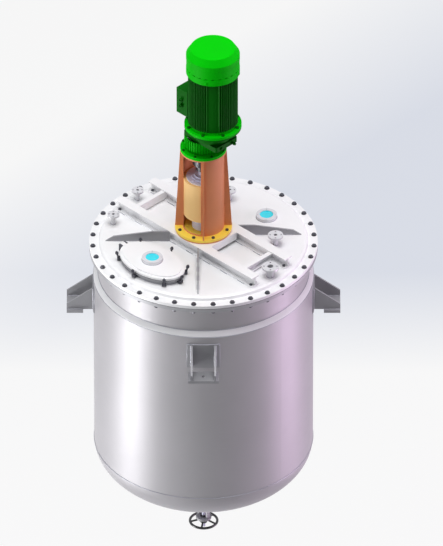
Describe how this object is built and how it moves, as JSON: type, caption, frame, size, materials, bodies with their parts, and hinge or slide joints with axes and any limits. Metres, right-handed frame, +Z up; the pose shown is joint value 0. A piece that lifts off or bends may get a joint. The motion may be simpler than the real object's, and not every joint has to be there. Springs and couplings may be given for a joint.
{
  "type": "mixing kettle",
  "caption": "Jacketed mixing kettle with a bolted lid, a geared agitator drive on a stand, an oval manhole, support lugs and a bottom drain valve.",
  "frame": {"origin": "on the vessel axis at the underside of the four support lugs", "axes": "+Z up along the vessel axis, X along the lid beams, the manhole on the -Y side"},
  "size_m": [1.485, 1.485, 3.635],
  "materials": {
    "vessel_steel": "satin stainless steel",
    "jacket_steel": "satin stainless steel",
    "lid_steel": "bright matt stainless steel",
    "bracket_steel": "plain steel",
    "fastener_steel": "plated steel",
    "stand_paint": "semi-gloss orange-brown paint",
    "flange_paint": "semi-gloss yellow paint",
    "barrel_paint": "semi-gloss light orange paint",
    "drive_paint": "gloss bright green paint",
    "machined_steel": "machined steel",
    "gear_steel": "ground steel",
    "dark_steel": "blackened steel",
    "wheel_iron": "black enamelled iron",
    "winding": "varnished copper and laminations",
    "fan_plastic": "moulded plastic",
    "gasket": "rubber",
    "sight_glass": "tinted clear glass"
  },
  "bodies": {
    "kettle": {"inner_vessel": "vessel_steel", "vessel_head": "vessel_steel", "vessel_flange": "vessel_steel", "jacket": "jacket_steel", "jacket_head": "jacket_steel", "jacket_closing_cone": "lid_steel", "jacket_nozzles": "jacket_steel", "support_lugs": "bracket_steel", "gaskets": "gasket", "lid": "lid_steel", "lid_bolts": "fastener_steel", "lid_nozzles": "lid_steel", "lid_ribs": "bracket_steel", "lid_beams": "lid_steel", "stand_seat": "stand_paint", "stand_base_flange": "flange_paint", "stand_tube": "stand_paint", "outlet_neck": "vessel_steel", "bearing_housing": "barrel_paint", "bearing_cap": "machined_steel", "shaft_bearings": "gear_steel", "shaft_seal": "machined_steel", "ring_gear": "gear_steel", "gearbox_lower_case": "drive_paint", "gearbox_upper_case": "drive_paint", "gearbox_fittings": "drive_paint", "motor_flange": "drive_paint", "motor_frame": "drive_paint", "motor_stator": "winding", "fan_cowl": "drive_paint", "terminal_box": "drive_paint", "manhole_neck": "lid_steel", "manhole_ears": "lid_steel", "valve_body": "vessel_steel", "valve_bolts": "fastener_steel", "valve_yoke": "vessel_steel", "lid_sight_ring": "lid_steel", "lid_sight_glass": "sight_glass"},
    "agitator": {"agitator_shaft": "machined_steel", "shaft_coupling": "dark_steel", "impellers": "vessel_steel", "planet_carrier": "gear_steel"},
    "planet_1": {"planet_gear_1": "gear_steel"},
    "planet_2": {"planet_gear_2": "gear_steel"},
    "planet_3": {"planet_gear_3": "gear_steel"},
    "sun": {"sun_shaft": "gear_steel"},
    "rotor": {"motor_rotor": "gear_steel", "motor_fan": "fan_plastic"},
    "valve_wheel": {"valve_handwheel": "wheel_iron"},
    "valve_spindle": {"valve_stem": "machined_steel"},
    "manhole_lid": {"manhole_cover": "lid_steel", "cover_sight_ring": "lid_steel", "cover_sight_glass": "sight_glass"},
    "swing_bolt_1": {"swing_bolt_1": "fastener_steel"},
    "swing_bolt_2": {"swing_bolt_2": "fastener_steel"},
    "swing_bolt_3": {"swing_bolt_3": "fastener_steel"},
    "swing_bolt_4": {"swing_bolt_4": "fastener_steel"},
    "swing_bolt_5": {"swing_bolt_5": "fastener_steel"},
    "swing_bolt_6": {"swing_bolt_6": "fastener_steel"},
    "swing_bolt_7": {"swing_bolt_7": "fastener_steel"}
  },
  "joints": [
    {"name": "agitator_spin", "type": "hinge", "parent": "kettle", "child": "agitator", "pos_m": [0, 0, 0], "axis": [0, 0, 1], "continuous": true},
    {"name": "planet_1_spin", "type": "hinge", "parent": "agitator", "child": "planet_1", "pos_m": [0.05625, 0, 1.203], "axis": [0, 0, 1], "continuous": true},
    {"name": "planet_2_spin", "type": "hinge", "parent": "agitator", "child": "planet_2", "pos_m": [-0.02812, 0.04871, 1.203], "axis": [0, 0, 1], "continuous": true},
    {"name": "planet_3_spin", "type": "hinge", "parent": "agitator", "child": "planet_3", "pos_m": [-0.02813, -0.04871, 1.203], "axis": [0, 0, 1], "continuous": true},
    {"name": "sun_spin", "type": "hinge", "parent": "kettle", "child": "sun", "pos_m": [0, 0, 1.25], "axis": [0, 0, 1], "continuous": true},
    {"name": "motor_spin", "type": "hinge", "parent": "kettle", "child": "rotor", "pos_m": [0.0825, 0, 1.5], "axis": [0, 0, 1], "continuous": true},
    {"name": "valve_turn", "type": "hinge", "parent": "kettle", "child": "valve_wheel", "pos_m": [0, 0, -1.64], "axis": [0, 0, 1], "range_deg": [0, 1440]},
    {"name": "valve_lift", "type": "slide", "parent": "kettle", "child": "valve_spindle", "axis": [0, 0, 1], "range_m": [0, 0.024]},
    {"name": "manhole_hinge", "type": "hinge", "parent": "kettle", "child": "manhole_lid", "pos_m": [-0.256, -0.442, 0.543], "axis": [0, -1, 0], "range_deg": [0, 105]},
    {"name": "swing_bolt_1_swing", "type": "hinge", "parent": "kettle", "child": "swing_bolt_1", "pos_m": [0.246, -0.442, 0.515], "axis": [0, 1, 0], "range_deg": [-15, 75]},
    {"name": "swing_bolt_2_swing", "type": "hinge", "parent": "kettle", "child": "swing_bolt_2", "pos_m": [0.19779, -0.34779, 0.515], "axis": [-0.7554, 0.6553, 0], "range_deg": [-15, 75]},
    {"name": "swing_bolt_3_swing", "type": "hinge", "parent": "kettle", "child": "swing_bolt_3", "pos_m": [0, -0.284, 0.515], "axis": [-1, 0, 0], "range_deg": [-15, 75]},
    {"name": "swing_bolt_4_swing", "type": "hinge", "parent": "kettle", "child": "swing_bolt_4", "pos_m": [-0.19779, -0.34779, 0.515], "axis": [-0.7554, -0.6553, 0], "range_deg": [-15, 75]},
    {"name": "swing_bolt_5_swing", "type": "hinge", "parent": "kettle", "child": "swing_bolt_5", "pos_m": [-0.19779, -0.53621, 0.515], "axis": [0.7554, -0.6553, 0], "range_deg": [-15, 75]},
    {"name": "swing_bolt_6_swing", "type": "hinge", "parent": "kettle", "child": "swing_bolt_6", "pos_m": [0, -0.6, 0.515], "axis": [1, 0, 0], "range_deg": [-15, 75]},
    {"name": "swing_bolt_7_swing", "type": "hinge", "parent": "kettle", "child": "swing_bolt_7", "pos_m": [0.19779, -0.53621, 0.515], "axis": [0.7554, 0.6553, 0], "range_deg": [-15, 75]}
  ],
  "couplings": [
    {"joint": "planet_1_spin", "follows": "agitator_spin", "ratio": -2.6667},
    {"joint": "planet_2_spin", "follows": "agitator_spin", "ratio": -2.6667},
    {"joint": "planet_3_spin", "follows": "agitator_spin", "ratio": -2.6667},
    {"joint": "sun_spin", "follows": "agitator_spin", "ratio": 5},
    {"joint": "motor_spin", "follows": "agitator_spin", "ratio": -15.625},
    {"joint": "valve_lift", "follows": "valve_turn", "m_per_rad": 0.00095493}
  ]
}
